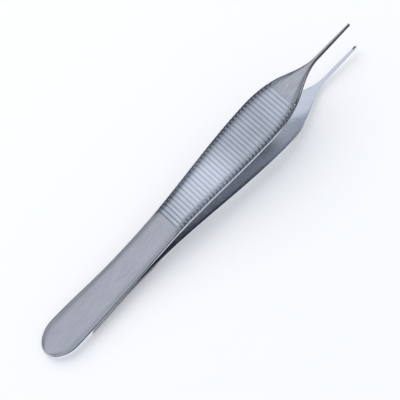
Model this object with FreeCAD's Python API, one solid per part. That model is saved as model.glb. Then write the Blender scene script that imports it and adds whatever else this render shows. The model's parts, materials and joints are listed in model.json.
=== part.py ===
import FreeCAD, Part
import math
import os

# Thumb forceps for fine tissue: two sprung steel arms welded together at the heel,
# ridged where the fingers press, with slender shanks and interlocking teeth.
# Millimetres. While the arms are shaped, X runs from the heel end to the tips,
# the plane Z = 0 lies midway between the arms, and the upper arm is above it.

Vector = FreeCAD.Vector

# Lengths along the forceps, each counted from the end of the one before
heel_end_length = 7.5
handle_length = 35.5
grip_swell_length = 41.0
shoulder_length = 23.0
shank_length = 13.0

# Widths across both arms, seen from above
heel_width = 10.8
handle_middle_width = 9.75
waist_width = 9.05
grip_width = 13.0
shoulder_width = 6.9
neck_width = 1.05
tip_width = 0.65

# The handle narrows fastest just after the heel, and the shoulder is steepest below its middle
handle_middle_place = 16.5
handle_middle_slope = -0.08
shoulder_middle_share = 0.61
shoulder_slope = -1.0

# Space from the middle plane to the inner face of an arm, and the slope of that face
# The slit opens bluntly at the end of the weld
weld_length = 13.1
weld_gap = 0.08
spring_length = 16.9
spring_gap = 0.4
spring_slope = 0.07
bow_length = 15.0
bow_gap = 1.8
bow_slope = 0.124
belly_length = 35.0
belly_gap = 4.95
belly_slope = 0.063
neck_gap = 6.88
tip_gap = 6.93

# Thickness of an arm
heel_thickness = 1.25
handle_thickness = 1.05
grip_thickness = 1.5
neck_thickness = 1.0
tip_thickness = 0.82

# Long outer edges: the height of the straight side wall, and how far in the rounding reaches
heel_rounding = 0.4
handle_wall = 0.65
handle_rounding = 0.3
grip_wall = 0.6
grip_rounding = 0.8
shank_wall = 0.2
neck_rounding = 0.36
tip_rounding = 0.26

# Where the arm thickens for the grip, beyond the waist
thickening_start = 2.0
thickening_length = 7.0
grip_end_before_shoulder_middle = 4.0

# Finger ridges across the outer face
ridge_count = 37
ridge_pitch = 1.215
ridge_depth = 0.25
ridge_crest_drop = 0.02
ridge_start_after_waist = 5.35
ridge_run_out = 0.3

# Teeth at the tips: one on the upper arm, which closes between two on the lower arm
tooth_height = 0.55
tooth_length = 1.2
tooth_point_share = 0.52
tooth_setback = 0.15
tooth_notch_floor = 0.1
tooth_root = 0.2
tip_end_rounding = 0.14

# Widest spacing of the sections that an arm is lofted through
section_spacing = 2.2

# Places along X
heel_place = heel_end_length
waist_place = heel_place + handle_length
widest_place = waist_place + grip_swell_length
shoulder_middle = widest_place + shoulder_length * shoulder_middle_share
neck_place = widest_place + shoulder_length
tip_place = neck_place + shank_length
spring_place = weld_length + spring_length
bow_place = spring_place + bow_length
belly_place = bow_place + belly_length
thickening_place = waist_place + thickening_start
grip_place = thickening_place + thickening_length
grip_end = shoulder_middle - grip_end_before_shoulder_middle

# Room that cutting shapes take beyond the arms
clear = 5.0


def curve_through(stations, x):
    """Smooth curve through stations of (place, value, slope), flat beyond both ends."""
    if x <= stations[0][0]:
        return stations[0][1]
    for (x0, y0, m0), (x1, y1, m1) in zip(stations, stations[1:]):
        if x <= x1:
            run = x1 - x0
            u = (x - x0) / run
            rise = 3 * u ** 2 - 2 * u ** 3
            start_turn = u - 2 * u ** 2 + u ** 3
            end_turn = u ** 3 - u ** 2
            return y0 + (y1 - y0) * rise + run * (m0 * start_turn + m1 * end_turn)
    return stations[-1][1]


def level_steps(*places_and_values):
    """Stations where a size changes gently from one level to the next."""
    return [(place, value, 0.0) for place, value in places_and_values]


shank_narrowing = (tip_width - neck_width) / shank_length
width_stations = [
    (heel_place, heel_width, 0.0),
    (heel_place + handle_middle_place, handle_middle_width, handle_middle_slope),
    (waist_place, waist_width, 0.0),
    (widest_place, grip_width, 0.0),
    (shoulder_middle, shoulder_width, shoulder_slope),
    (neck_place, neck_width, shank_narrowing),
    (tip_place, tip_width, shank_narrowing),
]

shank_spread = (tip_gap - neck_gap) / shank_length
gap_stations = [
    (weld_length, weld_gap, 0.0),
    (spring_place, spring_gap, spring_slope),
    (bow_place, bow_gap, bow_slope),
    (belly_place, belly_gap, belly_slope),
    (neck_place, neck_gap, shank_spread),
    (tip_place, tip_gap, shank_spread),
]

thickness_stations = level_steps(
    (weld_length, heel_thickness - weld_gap), (spring_place, handle_thickness),
    (thickening_place, handle_thickness), (grip_place, grip_thickness), (grip_end, grip_thickness),
    (neck_place, neck_thickness), (tip_place, tip_thickness))

wall_stations = level_steps(
    (weld_length, heel_thickness - weld_gap - heel_rounding), (spring_place, handle_wall),
    (thickening_place, handle_wall), (grip_place, grip_wall), (grip_end, grip_wall),
    (neck_place, shank_wall), (tip_place, shank_wall))

rounding_stations = level_steps(
    (weld_length, heel_rounding), (spring_place, handle_rounding), (thickening_place, handle_rounding),
    (grip_place, grip_rounding), (grip_end, grip_rounding), (neck_place, neck_rounding),
    (tip_place, tip_rounding))


def half_width(x):
    return curve_through(width_stations, x) / 2


def inner_height(x):
    return curve_through(gap_stations, x)


def outer_height(x):
    return inner_height(x) + curve_through(thickness_stations, x)


def rounded_corner(start, corner, end):
    """Quarter of an ellipse from start to end, tangent to the lines that meet at corner."""
    curve = Part.BSplineCurve()
    curve.buildFromPolesMultsKnots(
        [start, corner, end], [3, 3], [0.0, 1.0], False, 2, [1.0, math.sqrt(0.5), 1.0])
    return curve.toShape()


def edge_profile(x):
    """Rounded outer edge, ground as two flats: (inset from the side, height) from the wall upwards."""
    wall_top = inner_height(x) + curve_through(wall_stations, x)
    top = outer_height(x)
    reach = curve_through(rounding_stations, x)
    halfway = math.sqrt(0.5)
    return [(0.0, wall_top),
            (reach * (1 - halfway), wall_top + (top - wall_top) * halfway),
            (reach, top)]


def arm_section(x):
    """Section across an arm: straight sides, rounded outer edges, flat outer face.
    It reaches below the middle plane, and the inner face is cut later."""
    side = half_width(x)
    profile = [(0.0, -clear)] + edge_profile(x)
    right = [Vector(x, side - inset, z) for inset, z in profile]
    left = [Vector(x, inset - side, z) for inset, z in reversed(profile)]
    return Part.makePolygon(right + left + right[:1])


def section_places():
    """Sections close together from the heel to the tips, with one at each place named here."""
    named = sorted([heel_place, weld_length, spring_place, thickening_place, grip_place,
                    widest_place, shoulder_middle, neck_place, tip_place])
    places = []
    for start, end in zip(named, named[1:]):
        steps = max(1, math.ceil((end - start) / section_spacing))
        places += [start + (end - start) * i / steps for i in range(steps)]
    return places + [tip_place]


def lofted_arm():
    return Part.makeLoft([arm_section(x) for x in section_places()], True, False)


def heel_outline(inset, height):
    """Half an ellipse round the heel end, closed where the loft begins."""
    side = heel_width / 2 - inset
    back = Vector(inset, 0, height)
    right = Vector(heel_place, side, height)
    left = Vector(heel_place, -side, height)
    return Part.Wire([
        rounded_corner(right, Vector(inset, side, height), back),
        rounded_corner(back, Vector(inset, -side, height), left),
        Part.LineSegment(left, right).toShape(),
    ])


def heel_end():
    """Rounded end of the heel, with the edge profile of the arm carried round it."""
    profile = [(0.0, -clear)] + edge_profile(heel_place)
    return Part.makeLoft([heel_outline(inset, z) for inset, z in profile], True, True)


def across(points, half=None):
    """Prism of a side view outline, given as (x, z) points, that runs across the arms."""
    reach = half or grip_width
    corners = [Vector(x, -reach, z) for x, z in points]
    face = Part.Face(Part.makePolygon(corners + corners[:1]))
    return face.extrude(Vector(0, 2 * reach, 0))


def inner_space():
    """Everything on the far side of the inner face, out to the middle plane and beyond."""
    reach = grip_width
    spans = list(zip(gap_stations, gap_stations[1:]))
    line = []
    for (x0, y0, m0), (x1, y1, m1) in spans:
        third = (x1 - x0) / 3
        curve = Part.BezierCurve()
        curve.setPoles([Vector(x0, -reach, y0), Vector(x0 + third, -reach, y0 + m0 * third),
                        Vector(x1 - third, -reach, y1 - m1 * third), Vector(x1, -reach, y1)])
        line.append(curve.toShape())
    heel = Vector(-clear, -reach, 0)
    weld_end = Vector(weld_length, -reach, 0)
    slit_end = Vector(weld_length, -reach, weld_gap)
    tip = Vector(tip_place, -reach, tip_gap)
    past_tip = Vector(tip_place + clear, -reach, tip_gap + clear * shank_spread)
    below_tip = Vector(tip_place + clear, -reach, -2 * clear)
    below_heel = Vector(-clear, -reach, -2 * clear)
    corners = [tip, past_tip, below_tip, below_heel, heel, weld_end, slit_end]
    closing = [Part.LineSegment(a, b).toShape() for a, b in zip(corners, corners[1:])]
    face = Part.Face(Part.Wire(line + closing))
    return face.extrude(Vector(0, 2 * reach, 0))


def ridge_space():
    """What is milled away above the finger ridges: a row of arcs that meet in sharp grooves."""
    reach = grip_width
    first = waist_place + ridge_start_after_waist

    def groove(number):
        x = first + number * ridge_pitch
        return Vector(x, -reach, outer_height(x) - ridge_depth - ridge_crest_drop)

    def crest(number):
        x = first + (number + 0.5) * ridge_pitch
        return Vector(x, -reach, outer_height(x) - ridge_crest_drop)

    arcs = [Part.Arc(groove(i), crest(i), groove(i + 1)).toShape() for i in range(ridge_count)]
    start = groove(0)
    end = groove(ridge_count)
    rise = ridge_depth + ridge_crest_drop
    steepness = clear / rise
    above_end = Vector(end.x + ridge_run_out * steepness, -reach, end.z + clear)
    above_start = Vector(start.x - ridge_run_out * steepness, -reach, start.z + clear)
    closing = [Part.LineSegment(end, above_end).toShape(),
               Part.LineSegment(above_end, above_start).toShape(),
               Part.LineSegment(above_start, start).toShape()]
    face = Part.Face(Part.Wire(arcs + closing))
    return face.extrude(Vector(0, 2 * reach, 0))


def tooth_side_view():
    """Side view of a tooth: a wedge that stands a little back from the end of the tip."""
    height = inner_height(tip_place)
    end = tip_place - tooth_setback
    start = end - tooth_length
    outline = [
        (start, height + tooth_root),
        (start, height),
        (start + tooth_length * tooth_point_share, height - tooth_height),
        (end, height),
        (end, height + tooth_root),
    ]
    return across(outline, tip_width)


def along_tip(points):
    """Prism of an end view outline, given as (y, z) points below the inner face, along the tip."""
    height = inner_height(tip_place)
    corners = [Vector(tip_place - clear, y, height + z) for y, z in points]
    face = Part.Face(Part.makePolygon(corners + corners[:1]))
    return face.extrude(Vector(2 * clear, 0, 0))


def tip_corners():
    """What is taken off around the end of a tip, so that its corners are rounded."""
    side = tip_width / 2
    top = outer_height(tip_place)
    radius = tip_end_rounding
    beyond = tip_place + tip_width

    def corner(start, corner_point, end, *outside):
        points = [end, *outside, start]
        lines = [Part.LineSegment(a, b).toShape() for a, b in zip(points, points[1:])]
        return Part.Face(Part.Wire([rounded_corner(start, corner_point, end)] + lines))

    low = top - clear
    right = corner(Vector(tip_place - radius, side, low), Vector(tip_place, side, low),
                   Vector(tip_place, side - radius, low), Vector(beyond, side - radius, low),
                   Vector(beyond, 2 * side, low), Vector(tip_place - radius, 2 * side, low))
    left = right.mirror(Vector(0, 0, 0), Vector(0, 1, 0))
    outer = corner(Vector(tip_place - radius, -side, top), Vector(tip_place, -side, top),
                   Vector(tip_place, -side, top - radius), Vector(beyond, -side, top - radius),
                   Vector(beyond, -side, top + radius), Vector(tip_place - radius, -side, top + radius))
    up = Vector(0, 0, 2 * clear)
    return [right.extrude(up), left.extrude(up), outer.extrude(Vector(0, tip_width, 0))]


def single_tooth():
    quarter = tip_width / 4
    outline = [(-quarter, tooth_root), (-quarter, -tooth_notch_floor), (0, -tooth_height),
               (quarter, -tooth_notch_floor), (quarter, tooth_root)]
    return tooth_side_view().common(along_tip(outline))


def tooth_pair():
    side = tip_width / 2
    quarter = tip_width / 4
    outline = [(-side, tooth_root), (-side, -tooth_notch_floor), (-quarter, -tooth_height),
               (0, -tooth_notch_floor), (quarter, -tooth_height), (side, -tooth_notch_floor),
               (side, tooth_root)]
    return tooth_side_view().common(along_tip(outline))


def bare_arm():
    """One arm without its teeth, as the upper arm lies."""
    arm = lofted_arm().fuse(heel_end())
    return arm.cut(inner_space()).cut(ridge_space())


def finished_arm(arm, teeth):
    """An arm with its teeth, rounded at the end of the tip."""
    return arm.fuse(teeth).cut(tip_corners()).removeSplitter()


def rest_slope():
    """Slope of the table under the lower arm, which touches it at the heel and at the belly."""
    samples = 400
    places = [tip_place * i / samples for i in range(samples + 1)]
    return max((outer_height(x) - heel_thickness) / (x - heel_rounding)
               for x in places if x > weld_length)


def lay_down(shapes):
    """Turns the forceps to lie on its lower arm, with the origin under the middle of its box."""
    angle = -math.degrees(math.atan(rest_slope()))
    for shape in shapes:
        shape.rotate(Vector(0, 0, 0), Vector(0, 1, 0), angle)
    box = FreeCAD.BoundBox()
    for shape in shapes:
        box.add(shape.optimalBoundingBox(False))
    for shape in shapes:
        shape.translate(Vector(-box.Center.x, -box.Center.y, -box.ZMin))


def main():
    arm = bare_arm()
    upper = finished_arm(arm, single_tooth())
    lower = finished_arm(arm, tooth_pair()).mirror(Vector(0, 0, 0), Vector(0, 0, 1))
    lay_down([upper, lower])
    os.makedirs("parts", exist_ok=True)
    for name, shape in (("upper_arm", upper), ("lower_arm", lower)):
        shape.exportStep("parts/" + name + ".step")
        box = shape.BoundBox
        print(name, "valid", shape.isValid(), "solids", len(shape.Solids), "volume", round(shape.Volume, 3),
              "box", [round(v, 3) for v in (box.XMin, box.YMin, box.ZMin, box.XMax, box.YMax, box.ZMax)])


main()
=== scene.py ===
import json
import math

import bmesh
import bpy
from mathutils import Matrix, Vector


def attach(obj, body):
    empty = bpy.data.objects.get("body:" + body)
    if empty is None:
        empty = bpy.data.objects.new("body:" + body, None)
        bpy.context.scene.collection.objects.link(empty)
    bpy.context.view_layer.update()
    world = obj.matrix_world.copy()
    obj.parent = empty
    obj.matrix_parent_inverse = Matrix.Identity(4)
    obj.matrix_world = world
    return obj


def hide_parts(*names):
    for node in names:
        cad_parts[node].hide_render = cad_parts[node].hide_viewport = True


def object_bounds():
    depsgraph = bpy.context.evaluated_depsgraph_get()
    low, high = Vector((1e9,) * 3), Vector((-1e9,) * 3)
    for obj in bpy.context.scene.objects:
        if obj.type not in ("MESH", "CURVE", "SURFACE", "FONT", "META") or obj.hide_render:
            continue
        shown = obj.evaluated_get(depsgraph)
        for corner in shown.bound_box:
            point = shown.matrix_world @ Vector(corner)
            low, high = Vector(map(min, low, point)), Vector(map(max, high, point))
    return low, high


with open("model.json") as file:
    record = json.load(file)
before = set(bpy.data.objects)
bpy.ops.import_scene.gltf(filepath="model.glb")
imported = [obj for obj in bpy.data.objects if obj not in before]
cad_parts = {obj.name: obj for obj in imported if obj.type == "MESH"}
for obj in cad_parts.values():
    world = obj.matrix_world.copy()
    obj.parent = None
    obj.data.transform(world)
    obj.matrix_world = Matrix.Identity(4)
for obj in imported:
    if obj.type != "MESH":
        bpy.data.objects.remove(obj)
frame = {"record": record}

cad_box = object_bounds()

# Thumb forceps. Sizes are millimetres until a piece is laid in the frame, which is in metres.
# While the arms are shaped, X runs from the heel end to the tips, the plane Z = 0 lies
# midway between them, and both are made as the upper arm.
MILLIMETRE = 0.001

# Lengths along the forceps, each counted from the end of the one before
heel_end_length = 7.5
handle_length = 35.5
grip_swell_length = 41.0
shoulder_length = 23.0
shank_length = 13.0

# Widths seen from above
heel_width = 10.8
handle_middle_width = 9.75
waist_width = 9.05
grip_width = 13.0
shoulder_width = 6.9
neck_width = 1.05
tip_width = 0.65
handle_middle_place = 16.5
handle_middle_slope = -0.08
shoulder_middle_share = 0.61
shoulder_slope = -1.0

# Space from the middle plane to the inner face of an arm, and the slope of that face
weld_length = 13.1
weld_gap = 0.08
spring_length = 16.9
spring_gap = 0.4
spring_slope = 0.07
bow_length = 15.0
bow_gap = 1.8
bow_slope = 0.124
belly_length = 35.0
belly_gap = 4.95
belly_slope = 0.063
neck_gap = 6.88
tip_gap = 6.93

# Thickness of an arm, the straight part of its side wall, and the reach of its rounded edge
heel_thickness = 1.25
handle_thickness = 1.05
grip_thickness = 1.5
neck_thickness = 1.0
tip_thickness = 0.82
heel_rounding = 0.4
handle_wall = 0.65
handle_rounding = 0.3
grip_wall = 0.6
grip_rounding = 0.8
shank_wall = 0.2
neck_rounding = 0.36
tip_rounding = 0.26
thickening_start = 2.0
thickening_length = 7.0
grip_end_before_shoulder_middle = 4.0

# Finish of the edges that a solid leaves plain: broken inner corners and a slightly crowned back
welded_corner = 0.004
handle_corner = 0.25
grip_corner = 0.12
neck_corner = 0.06
tip_corner = 0.004
back_crown = 0.20
grip_crown = 0.26
crown_power = 5.0
tip_end_rounding = 0.14

# Finger ridges. The run-out is the slope from the last groove at either end up to the plain back.
ridge_count = 37
ridge_pitch = 1.215
ridge_depth = 0.25
ridge_crest_drop = 0.02
ridge_start_after_waist = 5.35
ridge_run_out = 0.7

# Teeth
tooth_height = 0.55
tooth_length = 1.2
tooth_point_share = 0.52
tooth_setback = 0.15
tooth_notch_floor = 0.1

# Places along X
heel_place = heel_end_length
waist_place = heel_place + handle_length
widest_place = waist_place + grip_swell_length
shoulder_middle = widest_place + shoulder_length * shoulder_middle_share
neck_place = widest_place + shoulder_length
tip_place = neck_place + shank_length
spring_place = weld_length + spring_length
bow_place = spring_place + bow_length
belly_place = bow_place + belly_length
thickening_place = waist_place + thickening_start
grip_place = thickening_place + thickening_length
grip_end = shoulder_middle - grip_end_before_shoulder_middle
first_groove = waist_place + ridge_start_after_waist
last_groove = first_groove + ridge_count * ridge_pitch
tooth_end = tip_place - tooth_setback
tooth_start = tooth_end - tooth_length
tooth_point = tooth_start + tooth_length * tooth_point_share
slit_start = weld_length + 0.02


def curve_through(stations, x):
    """Smooth curve through stations of (place, value, slope), flat beyond both ends."""
    if x <= stations[0][0]:
        return stations[0][1]
    for (x0, y0, m0), (x1, y1, m1) in zip(stations, stations[1:]):
        if x <= x1:
            run = x1 - x0
            u = (x - x0) / run
            rise = 3 * u ** 2 - 2 * u ** 3
            start_turn = u - 2 * u ** 2 + u ** 3
            end_turn = u ** 3 - u ** 2
            return y0 + (y1 - y0) * rise + run * (m0 * start_turn + m1 * end_turn)
    return stations[-1][1]


def level_steps(*places_and_values):
    """Stations where a size changes gently from one level to the next."""
    return [(place, value, 0.0) for place, value in places_and_values]


shank_narrowing = (tip_width - neck_width) / shank_length
width_stations = [
    (heel_place, heel_width, 0.0),
    (heel_place + handle_middle_place, handle_middle_width, handle_middle_slope),
    (waist_place, waist_width, 0.0),
    (widest_place, grip_width, 0.0),
    (shoulder_middle, shoulder_width, shoulder_slope),
    (neck_place, neck_width, shank_narrowing),
    (tip_place, tip_width, shank_narrowing),
]

shank_spread = (tip_gap - neck_gap) / shank_length
gap_stations = [
    (weld_length, weld_gap, 0.0),
    (spring_place, spring_gap, spring_slope),
    (bow_place, bow_gap, bow_slope),
    (belly_place, belly_gap, belly_slope),
    (neck_place, neck_gap, shank_spread),
    (tip_place, tip_gap, shank_spread),
]

thickness_stations = level_steps(
    (weld_length, heel_thickness - weld_gap), (spring_place, handle_thickness),
    (thickening_place, handle_thickness), (grip_place, grip_thickness), (grip_end, grip_thickness),
    (neck_place, neck_thickness), (tip_place, tip_thickness))

wall_stations = level_steps(
    (weld_length, heel_thickness - weld_gap - heel_rounding), (spring_place, handle_wall),
    (thickening_place, handle_wall), (grip_place, grip_wall), (grip_end, grip_wall),
    (neck_place, shank_wall), (tip_place, shank_wall))

rounding_stations = level_steps(
    (weld_length, heel_rounding), (spring_place, handle_rounding), (thickening_place, handle_rounding),
    (grip_place, grip_rounding), (grip_end, grip_rounding), (neck_place, neck_rounding),
    (tip_place, tip_rounding))

corner_stations = level_steps(
    (spring_place, handle_corner), (grip_place, grip_corner), (grip_end, grip_corner),
    (neck_place, neck_corner), (tooth_start, neck_corner), (tip_place, tip_corner))

# How far the back's long edges lie below its middle
crown_stations = level_steps(
    (thickening_place, back_crown), (grip_place, grip_crown), (grip_end, grip_crown), (neck_place, 0.0))

# Faces round a section of an arm
inner_steps = 16
corner_steps = 3
wall_steps = 3
rounding_steps = 12
back_steps = 20
heel_rows = 28
tip_rows = 4
ridge_steps = 12

# Longest step between sections: up to a place, in steps of this length
section_spacings = [
    (weld_length, 0.6),
    (slit_start, 0.02),
    (waist_place, 0.6),
    (first_groove, 0.3),
    (last_groove, ridge_pitch / ridge_steps),
    (neck_place, 0.25),
    (tooth_start, 0.35),
    (tooth_point, 0.05),
    (tooth_end, 0.05),
    (tip_place - tip_end_rounding, 0.05),
]


def section_places():
    """Places of the sections between the heel end and the rounding of the tip."""
    places = []
    start = heel_place
    for end, spacing in section_spacings:
        steps = max(1, round((end - start) / spacing))
        places += [start + (end - start) * (i + 1) / steps for i in range(steps)]
        start = end
    return places


def broken_line(points, place):
    """Height at a place on straight lines through (place, height) points, zero beyond them."""
    if not points[0][0] <= place <= points[-1][0]:
        return 0.0
    for (p0, h0), (p1, h1) in zip(points, points[1:]):
        if place <= p1:
            return h0 + (h1 - h0) * (place - p0) / (p1 - p0)
    return 0.0


tooth_side_line = [(tooth_start, 0.0), (tooth_point, tooth_height), (tooth_end, 0.0)]
tip_quarter = tip_width / 4
single_tooth_line = [
    (-tip_quarter, tooth_notch_floor), (0.0, tooth_height), (tip_quarter, tooth_notch_floor)]
tooth_pair_line = [
    (-2 * tip_quarter, tooth_notch_floor), (-tip_quarter, tooth_height), (0.0, tooth_notch_floor),
    (tip_quarter, tooth_height), (2 * tip_quarter, tooth_notch_floor)]


def tooth_drop(teeth, x, y):
    """How far the teeth stand out of the inner face, and into the space between the arms."""
    return min(broken_line(tooth_side_line, x), broken_line(teeth, y))


def section_ring(x, trim=0.0):
    """Points round the section of an arm at x, as (inset from the side, share of the face, height, skin).
    The share runs from -1 to 1 across a face, and the skin is 0 on the inner face, 1 on a side wall and
    from 1 to 2 up the rounded edge, where the back begins. The trim is what the end of the tip loses."""
    welded = x <= weld_length
    gap = curve_through(gap_stations, x)
    inner = 0.0 if welded else gap
    crown = curve_through(crown_stations, x)
    back = gap + curve_through(thickness_stations, x) - trim
    wall_top = min(gap + curve_through(wall_stations, x), back)
    reach = curve_through(rounding_stations, x)
    corner = welded_corner if welded else curve_through(corner_stations, x)
    edge_height = back - crown - wall_top

    def quarter(steps):
        return [math.pi / 2 * (i + 1) / steps for i in range(steps)]

    side = [(corner * (1 - math.sin(a)), inner + corner * (1 - math.cos(a)), 1.0)
            for a in quarter(corner_steps)]
    low = inner + corner
    side += [(0.0, low + (wall_top - low) * (i + 1) / wall_steps, 1.0) for i in range(wall_steps)]
    side += [(reach * (1 - math.cos(a)), wall_top + edge_height * math.sin(a), 1 + 2 * a / math.pi)
             for a in quarter(rounding_steps)]

    ring = [(corner, 2 * i / inner_steps - 1, inner, 0.0) for i in range(inner_steps + 1)]
    ring += [(inset, 1.0, z, skin) for inset, z, skin in side]
    for i in range(1, back_steps):
        share = 1 - 2 * i / back_steps
        ring.append((reach, share, back - crown * abs(share) ** crown_power, 2.0))
    ring += [(inset, -1.0, z, skin) for inset, z, skin in reversed(side)]
    return ring


def arm_skin(name, teeth):
    """One arm as a closed skin: rows round the heel end, then sections to the tip."""
    rows = []
    heel_ring = section_ring(heel_place)
    heel_side = heel_width / 2
    for i in range(heel_rows + 1):
        turn = math.pi / 2 * i / heel_rows
        rows.append([(heel_place - (heel_place - inset) * math.cos(turn),
                      share * (heel_side - inset) * math.sin(turn), z, skin)
                     for inset, share, z, skin in heel_ring])

    def add_section(x, trim=0.0):
        side = curve_through(width_stations, x) / 2 - trim
        row = []
        for inset, share, z, skin in section_ring(x, trim):
            y = share * (side - inset)
            drop = tooth_drop(teeth, x, y) if skin == 0.0 else 0.0
            row.append((x, y, z - drop, skin))
        rows.append(row)

    for x in section_places():
        add_section(x)
    for i in range(tip_rows):
        turn = math.pi / 2 * (i + 1) / tip_rows
        add_section(tip_place - tip_end_rounding * (1 - math.sin(turn)),
                    tip_end_rounding * (1 - math.cos(turn)))

    count = len(heel_ring)
    faces = []
    for r in range(len(rows) - 1):
        for i in range(count):
            j = (i + 1) % count
            faces.append((r * count + i, r * count + j, (r + 1) * count + j, (r + 1) * count + i))
    last = (len(rows) - 1) * count
    faces.append(tuple(last + i for i in range(count)))

    mesh = bpy.data.meshes.new(name)
    mesh.from_pydata([point[:3] for row in rows for point in row], [], faces)
    skin = mesh.attributes.new("skin", "FLOAT", "POINT")
    skin.data.foreach_set("value", [point[3] for row in rows for point in row])
    return mesh


class NodeMaker:
    """Adds nodes to a tree. An argument that is a socket is linked, and any other is set as a value."""

    def __init__(self, tree):
        self.tree = tree

    def feed(self, socket, value):
        if isinstance(value, bpy.types.NodeSocket):
            self.tree.links.new(value, socket)
        elif value is not None:
            socket.default_value = value

    def node(self, kind, inputs=None, **settings):
        node = self.tree.nodes.new(kind)
        for key, value in settings.items():
            setattr(node, key, value)
        for key, value in (inputs or {}).items():
            self.feed(node.inputs[key], value)
        return node

    def math(self, operation, a, b=None, c=None, kind="ShaderNodeMath"):
        node = self.node(kind, {0: a}, operation=operation)
        if b is not None:
            self.feed(node.inputs[1], b)
        if c is not None:
            self.feed(node.inputs[2], c)
        return node.outputs[0]


def new_tree(name, kind, inputs, outputs):
    """Node group with named inputs of (name, socket kind, default) and outputs of (name, socket kind)."""
    tree = bpy.data.node_groups.new(name, kind)
    for label, socket_kind, default in inputs:
        socket = tree.interface.new_socket(label, in_out="INPUT", socket_type=socket_kind)
        if default is not None:
            socket.default_value = default
    for label, socket_kind in outputs:
        tree.interface.new_socket(label, in_out="OUTPUT", socket_type=socket_kind)
    make = NodeMaker(tree)
    return make, make.node("NodeGroupInput").outputs, make.node("NodeGroupOutput").inputs


# Places on the rounded edges, as skin values: where the ridges run out and where they are at their full
# depth, and from where the surface is milled and has the ridges' finish
wrap_skin = (1.25, 1.6)
milled_skin = 1.01
ridged_skin = 1.3

# On those edges the grooves open into notches, whose depth grows this many times between two skin values
notch_skin = (2.0, 1.7)
notch_growth = 2.3


def finger_ridges_tree():
    """Mills a row of round-topped ridges with sharp grooves between them across the back of an arm."""
    number = "NodeSocketFloat"
    make, given, result = new_tree("finger_ridges", "GeometryNodeTree", [
        ("Arm", "NodeSocketGeometry", None),
        ("First Groove", number, 0.0),
        ("Ridge Count", number, 1.0),
        ("Ridge Pitch", number, 1.0),
        ("Ridge Depth", number, 0.1),
        ("Crest Drop", number, 0.0),
        ("Run Out", number, 0.1),
        ("Ridge Finish", "NodeSocketMaterial", None),
    ], [("Arm", "NodeSocketGeometry")])
    pitch, depth, crest = given["Ridge Pitch"], given["Ridge Depth"], given["Crest Drop"]
    place = make.node("ShaderNodeSeparateXYZ", {0: make.node("GeometryNodeInputPosition").outputs[0]}).outputs
    skin = make.node("GeometryNodeInputNamedAttribute", {"Name": "skin"}, data_type="FLOAT").outputs[0]

    along = make.math("SUBTRACT", place["X"], given["First Groove"])
    share = make.math("FRACT", make.math("DIVIDE", along, pitch))
    off_crest = make.math("MULTIPLY", make.math("SUBTRACT", share, 0.5), pitch)
    half_square = make.math("POWER", make.math("MULTIPLY", pitch, 0.5), 2.0)
    radius = make.math("DIVIDE", make.math("ADD", half_square, make.math("POWER", depth, 2.0)),
                       make.math("MULTIPLY", depth, 2.0))
    under_root = make.math("SUBTRACT", make.math("POWER", radius, 2.0), make.math("POWER", off_crest, 2.0))
    arc_drop = make.math("ADD", crest, make.math("SUBTRACT", radius, make.math("SQRT", under_root)))

    row_length = make.math("MULTIPLY", given["Ridge Count"], pitch)
    beyond = make.math("MAXIMUM", make.math("MULTIPLY", along, -1.0),
                       make.math("SUBTRACT", along, row_length))
    left = make.math("SUBTRACT", 1.0, make.math("DIVIDE", beyond, given["Run Out"]))
    end_drop = make.math("MULTIPLY", make.math("ADD", crest, depth), make.math("MAXIMUM", left, 0.0))
    is_beyond = make.math("GREATER_THAN", beyond, 0.0)
    drop = make.node("GeometryNodeSwitch", {
        0: is_beyond, 1: arc_drop, 2: end_drop}, input_type="FLOAT").outputs[0]

    wrap = make.node("ShaderNodeMapRange", {
        "Value": skin, "From Min": wrap_skin[0], "From Max": wrap_skin[1]}).outputs[0]
    notch = make.node("ShaderNodeMapRange", {
        "Value": skin, "From Min": notch_skin[0], "From Max": notch_skin[1],
        "To Min": 1.0, "To Max": notch_growth}).outputs[0]
    deep = make.math("MULTIPLY", make.math("SUBTRACT", drop, crest), notch)
    deep = make.math("ADD", deep, make.math("MINIMUM", drop, crest))
    deep = make.math("MULTIPLY", make.math("MAXIMUM", deep, drop), wrap)
    milled = make.math("SUBTRACT", place["Z"], deep)
    moved = make.node("ShaderNodeCombineXYZ", {"X": place["X"], "Y": place["Y"], "Z": milled}).outputs[0]
    on_back = make.math("GREATER_THAN", skin, milled_skin)
    milled_arm = make.node("GeometryNodeSetPosition", {
        "Geometry": given["Arm"], "Selection": on_back, "Position": moved}).outputs[0]

    in_row = make.math("LESS_THAN", beyond, 0.0)
    ridged = make.math("MULTIPLY", in_row, make.math("GREATER_THAN", skin, ridged_skin))
    solid = make.node("GeometryNodeRealizeInstances", {"Geometry": milled_arm}).outputs[0]
    finished = make.node("GeometryNodeSetMaterial", {
        "Geometry": solid, "Selection": ridged, "Material": given["Ridge Finish"]}).outputs[0]
    make.feed(result["Arm"], finished)
    return make.tree


def object_place(make):
    """X, Y and Z of the point that is shaded, in metres in the frame."""
    return make.node("ShaderNodeSeparateXYZ", {0: make.node("ShaderNodeTexCoord").outputs["Object"]}).outputs


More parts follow.
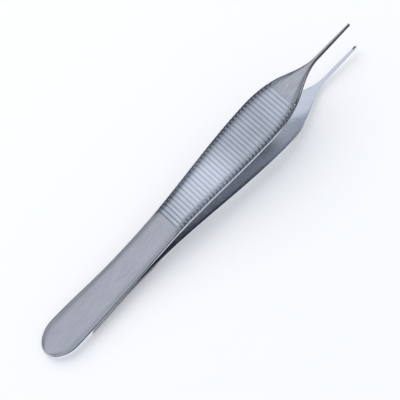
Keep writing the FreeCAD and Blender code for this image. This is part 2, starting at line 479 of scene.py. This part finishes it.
def length_grain_group():
    """Fine streaks that grinding leaves along the arm."""
    make, given, result = new_tree("length_grain", "ShaderNodeTree", [
        ("Along", "NodeSocketFloat", 60.0),
        ("Across", "NodeSocketFloat", 6000.0),
        ("Contrast", "NodeSocketFloat", 0.5),
    ], [("Grain", "NodeSocketFloat")])
    place = make.node("ShaderNodeTexCoord").outputs["Object"]
    stretch = make.node("ShaderNodeCombineXYZ", {
        "X": given["Along"], "Y": given["Across"], "Z": given["Across"]}).outputs[0]
    stretched = make.node("ShaderNodeVectorMath", {0: place, 1: stretch}, operation="MULTIPLY").outputs[0]
    noise = make.node("ShaderNodeTexNoise", {
        "Vector": stretched, "Scale": 1.0, "Detail": 4.0, "Roughness": 0.6}).outputs["Fac"]
    centred = make.math("SUBTRACT", noise, 0.5)
    grain = make.math("MULTIPLY_ADD", centred, given["Contrast"], 0.5)
    make.feed(result["Grain"], make.node("ShaderNodeClamp", {"Value": grain}).outputs[0])
    return make.tree


def scratches_group():
    """Sparse fine scratches at an angle to the arm, as a mask."""
    make, given, result = new_tree("scratches", "ShaderNodeTree", [
        ("Angle", "NodeSocketFloat", 0.0),
        ("Along", "NodeSocketFloat", 120.0),
        ("Across", "NodeSocketFloat", 4000.0),
        ("Amount", "NodeSocketFloat", 0.3),
    ], [("Scratches", "NodeSocketFloat")])
    place = make.node("ShaderNodeTexCoord").outputs["Object"]
    turned = make.node("ShaderNodeVectorRotate", {
        "Vector": place, "Angle": given["Angle"]}, rotation_type="Z_AXIS").outputs[0]
    stretch = make.node("ShaderNodeCombineXYZ", {
        "X": given["Along"], "Y": given["Across"], "Z": given["Along"]}).outputs[0]
    stretched = make.node("ShaderNodeVectorMath", {0: turned, 1: stretch}, operation="MULTIPLY").outputs[0]
    noise = make.node("ShaderNodeTexNoise", {
        "Vector": stretched, "Scale": 1.0, "Detail": 2.0, "Roughness": 0.5}).outputs["Fac"]
    start = make.math("SUBTRACT", 0.75, make.math("MULTIPLY", given["Amount"], 0.25))
    mask = make.node("ShaderNodeMapRange", {
        "Value": noise, "From Min": start, "From Max": make.math("ADD", start, 0.08)}).outputs[0]
    make.feed(result["Scratches"], mask)
    return make.tree


def soft_clouds_group():
    """Slow change of tone over the metal, from hand finishing."""
    make, given, result = new_tree("soft_clouds", "ShaderNodeTree", [
        ("Scale", "NodeSocketFloat", 60.0),
    ], [("Clouds", "NodeSocketFloat")])
    place = make.node("ShaderNodeTexCoord").outputs["Object"]
    noise = make.node("ShaderNodeTexNoise", {
        "Vector": place, "Scale": given["Scale"], "Detail": 2.0, "Roughness": 0.5}).outputs["Fac"]
    spread = make.node("ShaderNodeMapRange", {"Value": noise, "From Min": 0.3, "From Max": 0.7}).outputs[0]
    make.feed(result["Clouds"], spread)
    return make.tree


length_grain = length_grain_group()
scratches = scratches_group()
soft_clouds = soft_clouds_group()


def group(make, tree, **inputs):
    """Output of a node group with these inputs."""
    node = make.node("ShaderNodeGroup", node_tree=tree)
    for key, value in inputs.items():
        make.feed(node.inputs[key.replace("_", " ")], value)
    return node.outputs[0]


def between(make, value, start_end, low=0.0, high=1.0):
    """Soft step from low to high as the value goes from start to end."""
    start, end = start_end
    return make.node("ShaderNodeMapRange", {
        "Value": value, "From Min": start, "From Max": end, "To Min": low, "To Max": high},
        interpolation_type="SMOOTHSTEP").outputs[0]


def pick(make, factor, off, on, data_type="FLOAT"):
    """Off or on for a factor of 0 or 1, and a blend between."""
    mix = make.node("ShaderNodeMix", {"Factor": factor}, data_type=data_type)
    make.feed(mix.inputs["A"], off)
    make.feed(mix.inputs["B"], on)
    return mix.outputs["Result"]


def pick_colour(make, factor, off, on):
    return pick(make, factor, off, on, "RGBA")


def steel(name, dark, light, roughness, grain_depth, build):
    """Steel between a dark and a light tone. What build returns is (tone, roughness change, height)."""
    material = bpy.data.materials.new(name)
    material.use_nodes = True
    make = NodeMaker(material.node_tree)
    surface = material.node_tree.nodes["Principled BSDF"]
    tone, rougher, height = build(make)
    make.feed(surface.inputs["Base Color"], pick_colour(make, tone, dark, light))
    surface.inputs["Metallic"].default_value = 1.0
    make.feed(surface.inputs["Roughness"], make.math("ADD", rougher, roughness))
    bump = make.node("ShaderNodeBump", {"Height": height, "Strength": 1.0, "Distance": grain_depth})
    make.feed(surface.inputs["Normal"], bump.outputs[0])
    return material


# Where the grinding of the back turns from fine on the handle to coarse on the shoulder, in metres in the
# frame, how strong the fine one is, and the tone that both vary about
coarse_places = (0.010, 0.030)
fine_strength = 0.6
middle_tone = 0.45

# Where the rounded edge turns from ground to polished, as skin values, how much smoother it is there, and the
# depth of a scratch as a share of the grain's
polished_skin = (2.0, 1.4)
edge_polish = 0.20
scratch_depth = 0.6


def satin_back(make):
    """Ground lengthwise, with slanting scratches and slow clouds, and polished where the back rolls over."""
    grain = group(make, length_grain, Along=90.0, Across=2600.0, Contrast=2.4)
    clouds = group(make, soft_clouds, Scale=190.0)
    marks = group(make, scratches, Angle=0.35, Along=260.0, Across=5200.0, Amount=0.5)
    strength = between(make, object_place(make)["X"], coarse_places, fine_strength, 1.0)
    skin = make.node("ShaderNodeAttribute", attribute_name="skin").outputs["Fac"]
    edge = between(make, skin, polished_skin)
    tone = make.math("ADD", make.math("MULTIPLY", grain, 0.65), make.math("MULTIPLY", clouds, 0.35))
    tone = make.math("SUBTRACT", tone, make.math("MULTIPLY", marks, 0.30))
    tone = make.math("MULTIPLY_ADD", make.math("SUBTRACT", tone, middle_tone), strength, middle_tone)
    rougher = make.math("MULTIPLY_ADD", edge, -edge_polish, make.math("MULTIPLY", clouds, 0.08))
    height = make.math("ADD", grain, make.math("MULTIPLY", marks, -scratch_depth))
    return tone, rougher, height


# Middle and half-length of the stretch of ridges that carries a painted highlight, in metres in the frame
painted_highlight_place = 0.0015
painted_highlight_reach = 0.016


def satin_ridges(make):
    """The milled ridges, with a painted highlight: brighter along a stretch about their middle."""
    grain = group(make, length_grain, Along=900.0, Across=3000.0, Contrast=1.4)
    clouds = group(make, soft_clouds, Scale=110.0)
    away = make.math("ABSOLUTE", make.math("SUBTRACT", object_place(make)["X"], painted_highlight_place))
    # Painted highlight: the base colour is lighter along this stretch of ridges
    painted_highlight = between(make, away, (painted_highlight_reach, 0.0))
    tone = make.math("ADD", make.math("MULTIPLY", grain, 0.2), make.math("MULTIPLY", clouds, 0.3))
    tone = make.math("ADD", tone, make.math("MULTIPLY", painted_highlight, 0.5))
    return tone, make.math("MULTIPLY", grain, 0.06), grain


def polished_side(make):
    """The side walls, polished along their length."""
    grain = group(make, length_grain, Along=30.0, Across=5000.0, Contrast=1.2)
    clouds = group(make, soft_clouds, Scale=120.0)
    return clouds, make.math("MULTIPLY", grain, 0.06), grain


def smooth_inner(make):
    """The inner faces, finished smooth with faint marks slanting across them."""
    grain = group(make, length_grain, Along=60.0, Across=1500.0, Contrast=1.2)
    clouds = group(make, soft_clouds, Scale=60.0)
    marks = group(make, scratches, Angle=0.9, Along=60.0, Across=900.0, Amount=0.8)
    tone = make.math("ADD", make.math("MULTIPLY", clouds, 0.6), make.math("MULTIPLY", marks, 0.4))
    return tone, make.math("MULTIPLY", marks, 0.05), grain


micron = 1e-6

# Name, dark and light tone, roughness, depth of the grain, and what makes the pattern
back_steel = steel(
    "satin_back_steel", (0.44, 0.438, 0.45, 1), (0.72, 0.717, 0.73, 1), 0.36, 2 * micron, satin_back)
ridge_steel = steel(
    "satin_ridge_steel", (0.46, 0.475, 0.50, 1), (0.83, 0.85, 0.885, 1), 0.28, micron, satin_ridges)
side_steel = steel(
    "polished_side_steel", (0.74, 0.745, 0.76, 1), (0.80, 0.805, 0.82, 1), 0.10, micron, polished_side)
inner_steel = steel(
    "smooth_inner_steel", (0.545, 0.555, 0.585, 1), (0.645, 0.66, 0.69, 1), 0.17, micron, smooth_inner)

finger_ridges = finger_ridges_tree()
ridge_sizes = {
    "First Groove": first_groove,
    "Ridge Count": float(ridge_count),
    "Ridge Pitch": ridge_pitch,
    "Ridge Depth": ridge_depth,
    "Crest Drop": ridge_crest_drop,
    "Run Out": ridge_run_out,
    "Ridge Finish": ridge_steel,
}

# The heel's upper face, which is level while the arms are shaped, gives the tilt at which the forceps lies
heel_mount = next(m for m in frame["record"]["mounts"] if m["name"] == "heel_upper_face")
lying_tilt = math.atan2(heel_mount["axis"][0], heel_mount["axis"][2])
lie_down = Matrix.Rotation(lying_tilt, 4, "Y") @ Matrix.Scale(MILLIMETRE, 4)

sharp_angle = math.radians(25)


def mill_ridges(piece):
    """Runs the ridge tree on the piece, and keeps its result as a plain mesh."""
    modifier = piece.modifiers.new("finger_ridges", "NODES")
    modifier.node_group = finger_ridges
    for item in finger_ridges.interface.items_tree:
        if item.in_out == "INPUT" and item.name in ridge_sizes:
            modifier[item.identifier] = ridge_sizes[item.name]
    graph = bpy.context.evaluated_depsgraph_get()
    milled = bpy.data.meshes.new_from_object(
        piece.evaluated_get(graph), preserve_all_data_layers=True, depsgraph=graph)
    piece.modifiers.remove(modifier)
    piece.data = milled


def build_arm(name, teeth, is_lower):
    """An arm in its place: skin, ridges, finishes, then laid down in the frame."""
    mesh = arm_skin(name, teeth)
    for material in (back_steel, side_steel, inner_steel):
        mesh.materials.append(material)
    skin = mesh.attributes["skin"].data
    for polygon in mesh.polygons:
        lowest = min(skin[v].value for v in polygon.vertices)
        highest = max(skin[v].value for v in polygon.vertices)
        polygon.material_index = 0 if lowest >= 1.0 and highest > 1.0 else 1 if highest > 0.0 else 2
    piece = bpy.data.objects.new(name, mesh)
    bpy.context.scene.collection.objects.link(piece)
    mill_ridges(piece)

    mesh = piece.data
    mesh.name = name
    if is_lower:
        mesh.transform(Matrix.Scale(-1, 4, (0, 0, 1)))
    mesh.transform(lie_down)
    shaped = bmesh.new()
    shaped.from_mesh(mesh)
    bmesh.ops.remove_doubles(shaped, verts=shaped.verts, dist=micron)
    bmesh.ops.recalc_face_normals(shaped, faces=shaped.faces)
    shaped.to_mesh(mesh)
    shaped.free()
    mesh.shade_smooth()
    mesh.set_sharp_from_angle(angle=sharp_angle)
    return piece


upper = build_arm("upper_arm_finished", single_tooth_line, False)
lower = build_arm("lower_arm_finished", tooth_pair_line, True)


def corners(pieces):
    points = [vertex.co for piece in pieces for vertex in piece.data.vertices]
    return ([min(p[i] for p in points) for i in range(3)], [max(p[i] for p in points) for i in range(3)])


# Both arms move together onto the solids: level with their box at the heel, the side and the floor
arm_low, arm_high = corners((upper, lower))
seat = Matrix.Translation((cad_box[0].x - arm_low[0], 0.0, cad_box[0].z - arm_low[2]))
for piece, node in ((upper, "upper_arm"), (lower, "lower_arm")):
    piece.data.transform(seat)
    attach(piece, "root")
    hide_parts(node)


# The studio. The metal mirrors a light tent that runs on along X and is open towards the viewer, over a
# white table. Its edges are parts of a unit vector: 0.0 is square to an axis, 1.0 straight along it.
tent_tone = 1.15
tent_colour = (0.85, 0.905, 1.02, 1)
tent_near_edge = (-0.06, 0.20)
tent_far_edge = (0.71, 0.45)
tent_foot = (0.16, 0.52)
room_colour = (0.045, 0.060, 0.095, 1)

# Light walls to the left and right behind the viewer, and at both ends, for the views from other sides
wall_share = 0.85
wall_side = (0.40, 0.60)
wall_behind = (-0.25, -0.45)
wall_foot = (-0.02, 0.06)
end_side = (0.90, 0.97)
end_reach = (0.30, 0.15)

# Painted reflection: what the metal mirrors of the table is an emission painted by place in metres. Each pair
# of places is a soft edge, from outside a zone to inside it. It is painted white close by, and painted dark
# far off and as painted shade where the arms would shade the table.
painted_reflection_tone = 1.0
painted_reflection_far_tone = 0.05
shade_colour = (1.0, 0.93, 0.91, 1)
far_reach = (0.06, 0.20)
near_end = (-0.018, -0.040)
beyond_edge = (0.018, 0.026)
beyond_front = (0.090, 0.070)

# Painted shade behind the arms, deepening from the slit to the grip
behind_tones = (0.14, 0.03)
behind_tone_places = (0.0, 0.012)
behind_edge = (-0.002, 0.004)
behind_front = (0.039, 0.030)

# Painted shade beside the slit, but for the strip that the upper arm's wall mirrors
shade_side = (0.00618, 0.00610)
shade_outside = (0.0070, 0.0076)
shade_rear = (-0.0480, -0.0468)
shade_front = (-0.0195, -0.0240)

# Painted shade under the arms
under_side = (0.0048, 0.0040)
under_rear = (-0.050, -0.046)
under_front = (0.036, 0.026)

# Painted shade: a dark patch painted into the table's reflection on the viewer's side of the shanks
painted_dark_patch_tone = 0.14
painted_dark_patch_rear = (0.026, 0.034)
painted_dark_patch_side = (-0.0050, -0.0065)

# What lights the table: the whole room softly, and a large lamp beyond the forceps
dome_tone = 0.58
lamp_place = (0.05, 0.75, 0.90)
lamp_size = 1.7
lamp_energy = 8.6
floor_size = 6.0
table_colour = (0.82, 0.82, 0.82, 1)
table_lift = 0.28
dome_colour = (0.885, 0.955, 1.075, 1)
lamp_colour = (1.0, 0.96, 0.90)


def zone(make, *edges):
    """Mask of what is inside all of these soft edges, each a (value, pair of places)."""
    masks = [between(make, value, places) for value, places in edges]
    inside = masks[0]
    for mask in masks[1:]:
        inside = make.math("MULTIPLY", inside, mask)
    return inside


def painted_table_reflection(make):
    """Painted reflection: brightness of the table as the metal sees it, painted by place, with painted shade.
    """
    place = object_place(make)
    along, across = place["X"], place["Y"]
    off_middle = make.math("ABSOLUTE", across)
    out = make.node("ShaderNodeVectorMath", {0: make.node("ShaderNodeTexCoord").outputs["Object"]},
                    operation="LENGTH").outputs["Value"]
    tone = between(make, out, far_reach, painted_reflection_tone, painted_reflection_far_tone)
    tone = pick(make, zone(make, (across, near_end)), tone, painted_reflection_far_tone)
    tone = pick(make, zone(make, (across, beyond_edge), (along, beyond_front)), tone, painted_reflection_far_tone)
    behind_tone = between(make, along, behind_tone_places, *behind_tones)
    tone = pick(make, zone(make, (across, behind_edge), (along, behind_front)), tone, behind_tone)

    # Painted shade beside the slit and under the arms, in what the metal mirrors
    beside = make.math("MAXIMUM", zone(make, (off_middle, shade_side)),
                       zone(make, (off_middle, shade_outside)))
    slit = make.math("MULTIPLY", beside, zone(make, (along, shade_rear), (along, shade_front)))
    under = zone(make, (off_middle, under_side), (along, under_rear), (along, under_front))
    tone = pick(make, make.math("MAXIMUM", slit, under), tone, painted_reflection_far_tone)
    # Painted shade: a dark patch beside the shanks
    return pick(make, zone(make, (along, painted_dark_patch_rear), (across, painted_dark_patch_side)), tone, painted_dark_patch_tone)


def floor_material():
    """White table: takes soft shadows and is lifted to white where the camera sees it; in the metal's mirror
    it shows a painted reflection instead, with painted tones and painted shade."""
    material = bpy.data.materials.new("white_table")
    material.use_nodes = True
    make = NodeMaker(material.node_tree)
    material.node_tree.nodes.clear()
    path = make.node("ShaderNodeLightPath").outputs
    seen = make.math("MAXIMUM", path["Is Camera Ray"], path["Is Transmission Ray"])
    paper = make.node("ShaderNodeBsdfDiffuse", {"Color": table_colour}).outputs[0]
    lift = make.node("ShaderNodeEmission", {
        "Color": (1.0, 1.0, 1.0, 1), "Strength": make.math("MULTIPLY", seen, table_lift)}).outputs[0]
    lit = make.node("ShaderNodeAddShader", {0: paper, 1: lift}).outputs[0]
    tone = painted_table_reflection(make)
    # Painted reflection: an emission that only glossy rays see, in place of the lit table
    mirrored = make.node("ShaderNodeEmission", {
        "Color": pick_colour(make, tone, shade_colour, tent_colour), "Strength": tone}).outputs[0]
    surface = make.node("ShaderNodeMixShader", {0: path["Is Glossy Ray"], 1: lit, 2: mirrored}).outputs[0]
    output = make.node("ShaderNodeOutputMaterial")
    make.feed(output.inputs["Surface"], surface)
    return material


def studio_floor():
    mesh = bpy.data.meshes.new("studio_floor")
    half = floor_size / 2
    corners_round = [(-half, -half, 0), (half, -half, 0), (half, half, 0), (-half, half, 0)]
    mesh.from_pydata(corners_round, [], [(0, 1, 2, 3)])
    mesh.materials.append(floor_material())
    floor = bpy.data.objects.new("studio_floor", mesh)
    bpy.context.scene.collection.objects.link(floor)


def studio_world():
    """Light tent for the metal, an even room for the table, and white for the camera."""
    world = bpy.data.worlds.new("studio_world")
    world.use_nodes = True
    make = NodeMaker(world.node_tree)
    sky = world.node_tree.nodes["Background"]
    direction = make.node("ShaderNodeSeparateXYZ", {
        0: make.node("ShaderNodeTexCoord").outputs["Generated"]}).outputs
    away, up = direction["Y"], direction["Z"]
    aside = make.math("ABSOLUTE", direction["X"])
    tent = zone(make, (away, tent_near_edge), (away, tent_far_edge), (up, tent_foot))
    walls = zone(make, (aside, wall_side), (away, wall_behind))
    ends = zone(make, (aside, end_side), (make.math("ABSOLUTE", away), end_reach))
    walls = make.math("MULTIPLY", make.math("MAXIMUM", walls, ends), zone(make, (up, wall_foot)))
    tent = make.math("MAXIMUM", tent, make.math("MULTIPLY", walls, wall_share))
    path = make.node("ShaderNodeLightPath").outputs
    seen = make.math("MAXIMUM", path["Is Camera Ray"], path["Is Transmission Ray"])
    mirrored = pick_colour(make, tent, room_colour, tent_colour)
    make.feed(sky.inputs["Color"], pick_colour(make, path["Is Glossy Ray"], dome_colour, mirrored))
    lighting = pick(make, path["Is Glossy Ray"], dome_tone, pick(make, tent, 1.0, tent_tone))
    make.feed(sky.inputs["Strength"], pick(make, seen, lighting, 1.0))
    bpy.context.scene.world = world


def table_lamp():
    """Large soft lamp that the table and matt things take, and that the metal doesn't mirror."""
    lamp = bpy.data.lights.new("table_lamp", "AREA")
    lamp.shape = "DISK"
    lamp.size = lamp_size
    lamp.energy = lamp_energy
    lamp.color = lamp_colour
    light = bpy.data.objects.new("table_lamp", lamp)
    light.location = lamp_place
    light.rotation_euler = (-Vector(lamp_place)).to_track_quat("-Z", "Y").to_euler()
    light.visible_glossy = False
    bpy.context.scene.collection.objects.link(light)


studio_floor()
studio_world()
table_lamp()

# The camera of the photograph, in millimetres in the frame of the part
camera_place = Vector((-53.88, -151.27, 361.88))
camera_aim = Vector((-2.30, -2.33, 8.0))
camera_roll = math.radians(27.03)
camera_lens = 129.9


def photo_camera():
    lens = bpy.data.cameras.new("photo_camera")
    lens.lens = camera_lens
    lens.sensor_width = 36.0
    lens.clip_start = 0.01
    lens.clip_end = 20.0
    camera = bpy.data.objects.new("photo_camera", lens)
    ahead = (camera_aim - camera_place).normalized()
    level_right = ahead.cross(Vector((0, 0, 1))).normalized()
    right = (Matrix.Rotation(camera_roll, 3, ahead) @ level_right).normalized()
    up = right.cross(ahead)
    turn = Matrix((right, up, -ahead)).transposed()
    camera.matrix_world = Matrix.Translation(camera_place * MILLIMETRE) @ turn.to_4x4()
    bpy.context.scene.collection.objects.link(camera)
    bpy.context.scene.camera = camera


photo_camera()
bpy.context.scene.view_settings.view_transform = "Standard"
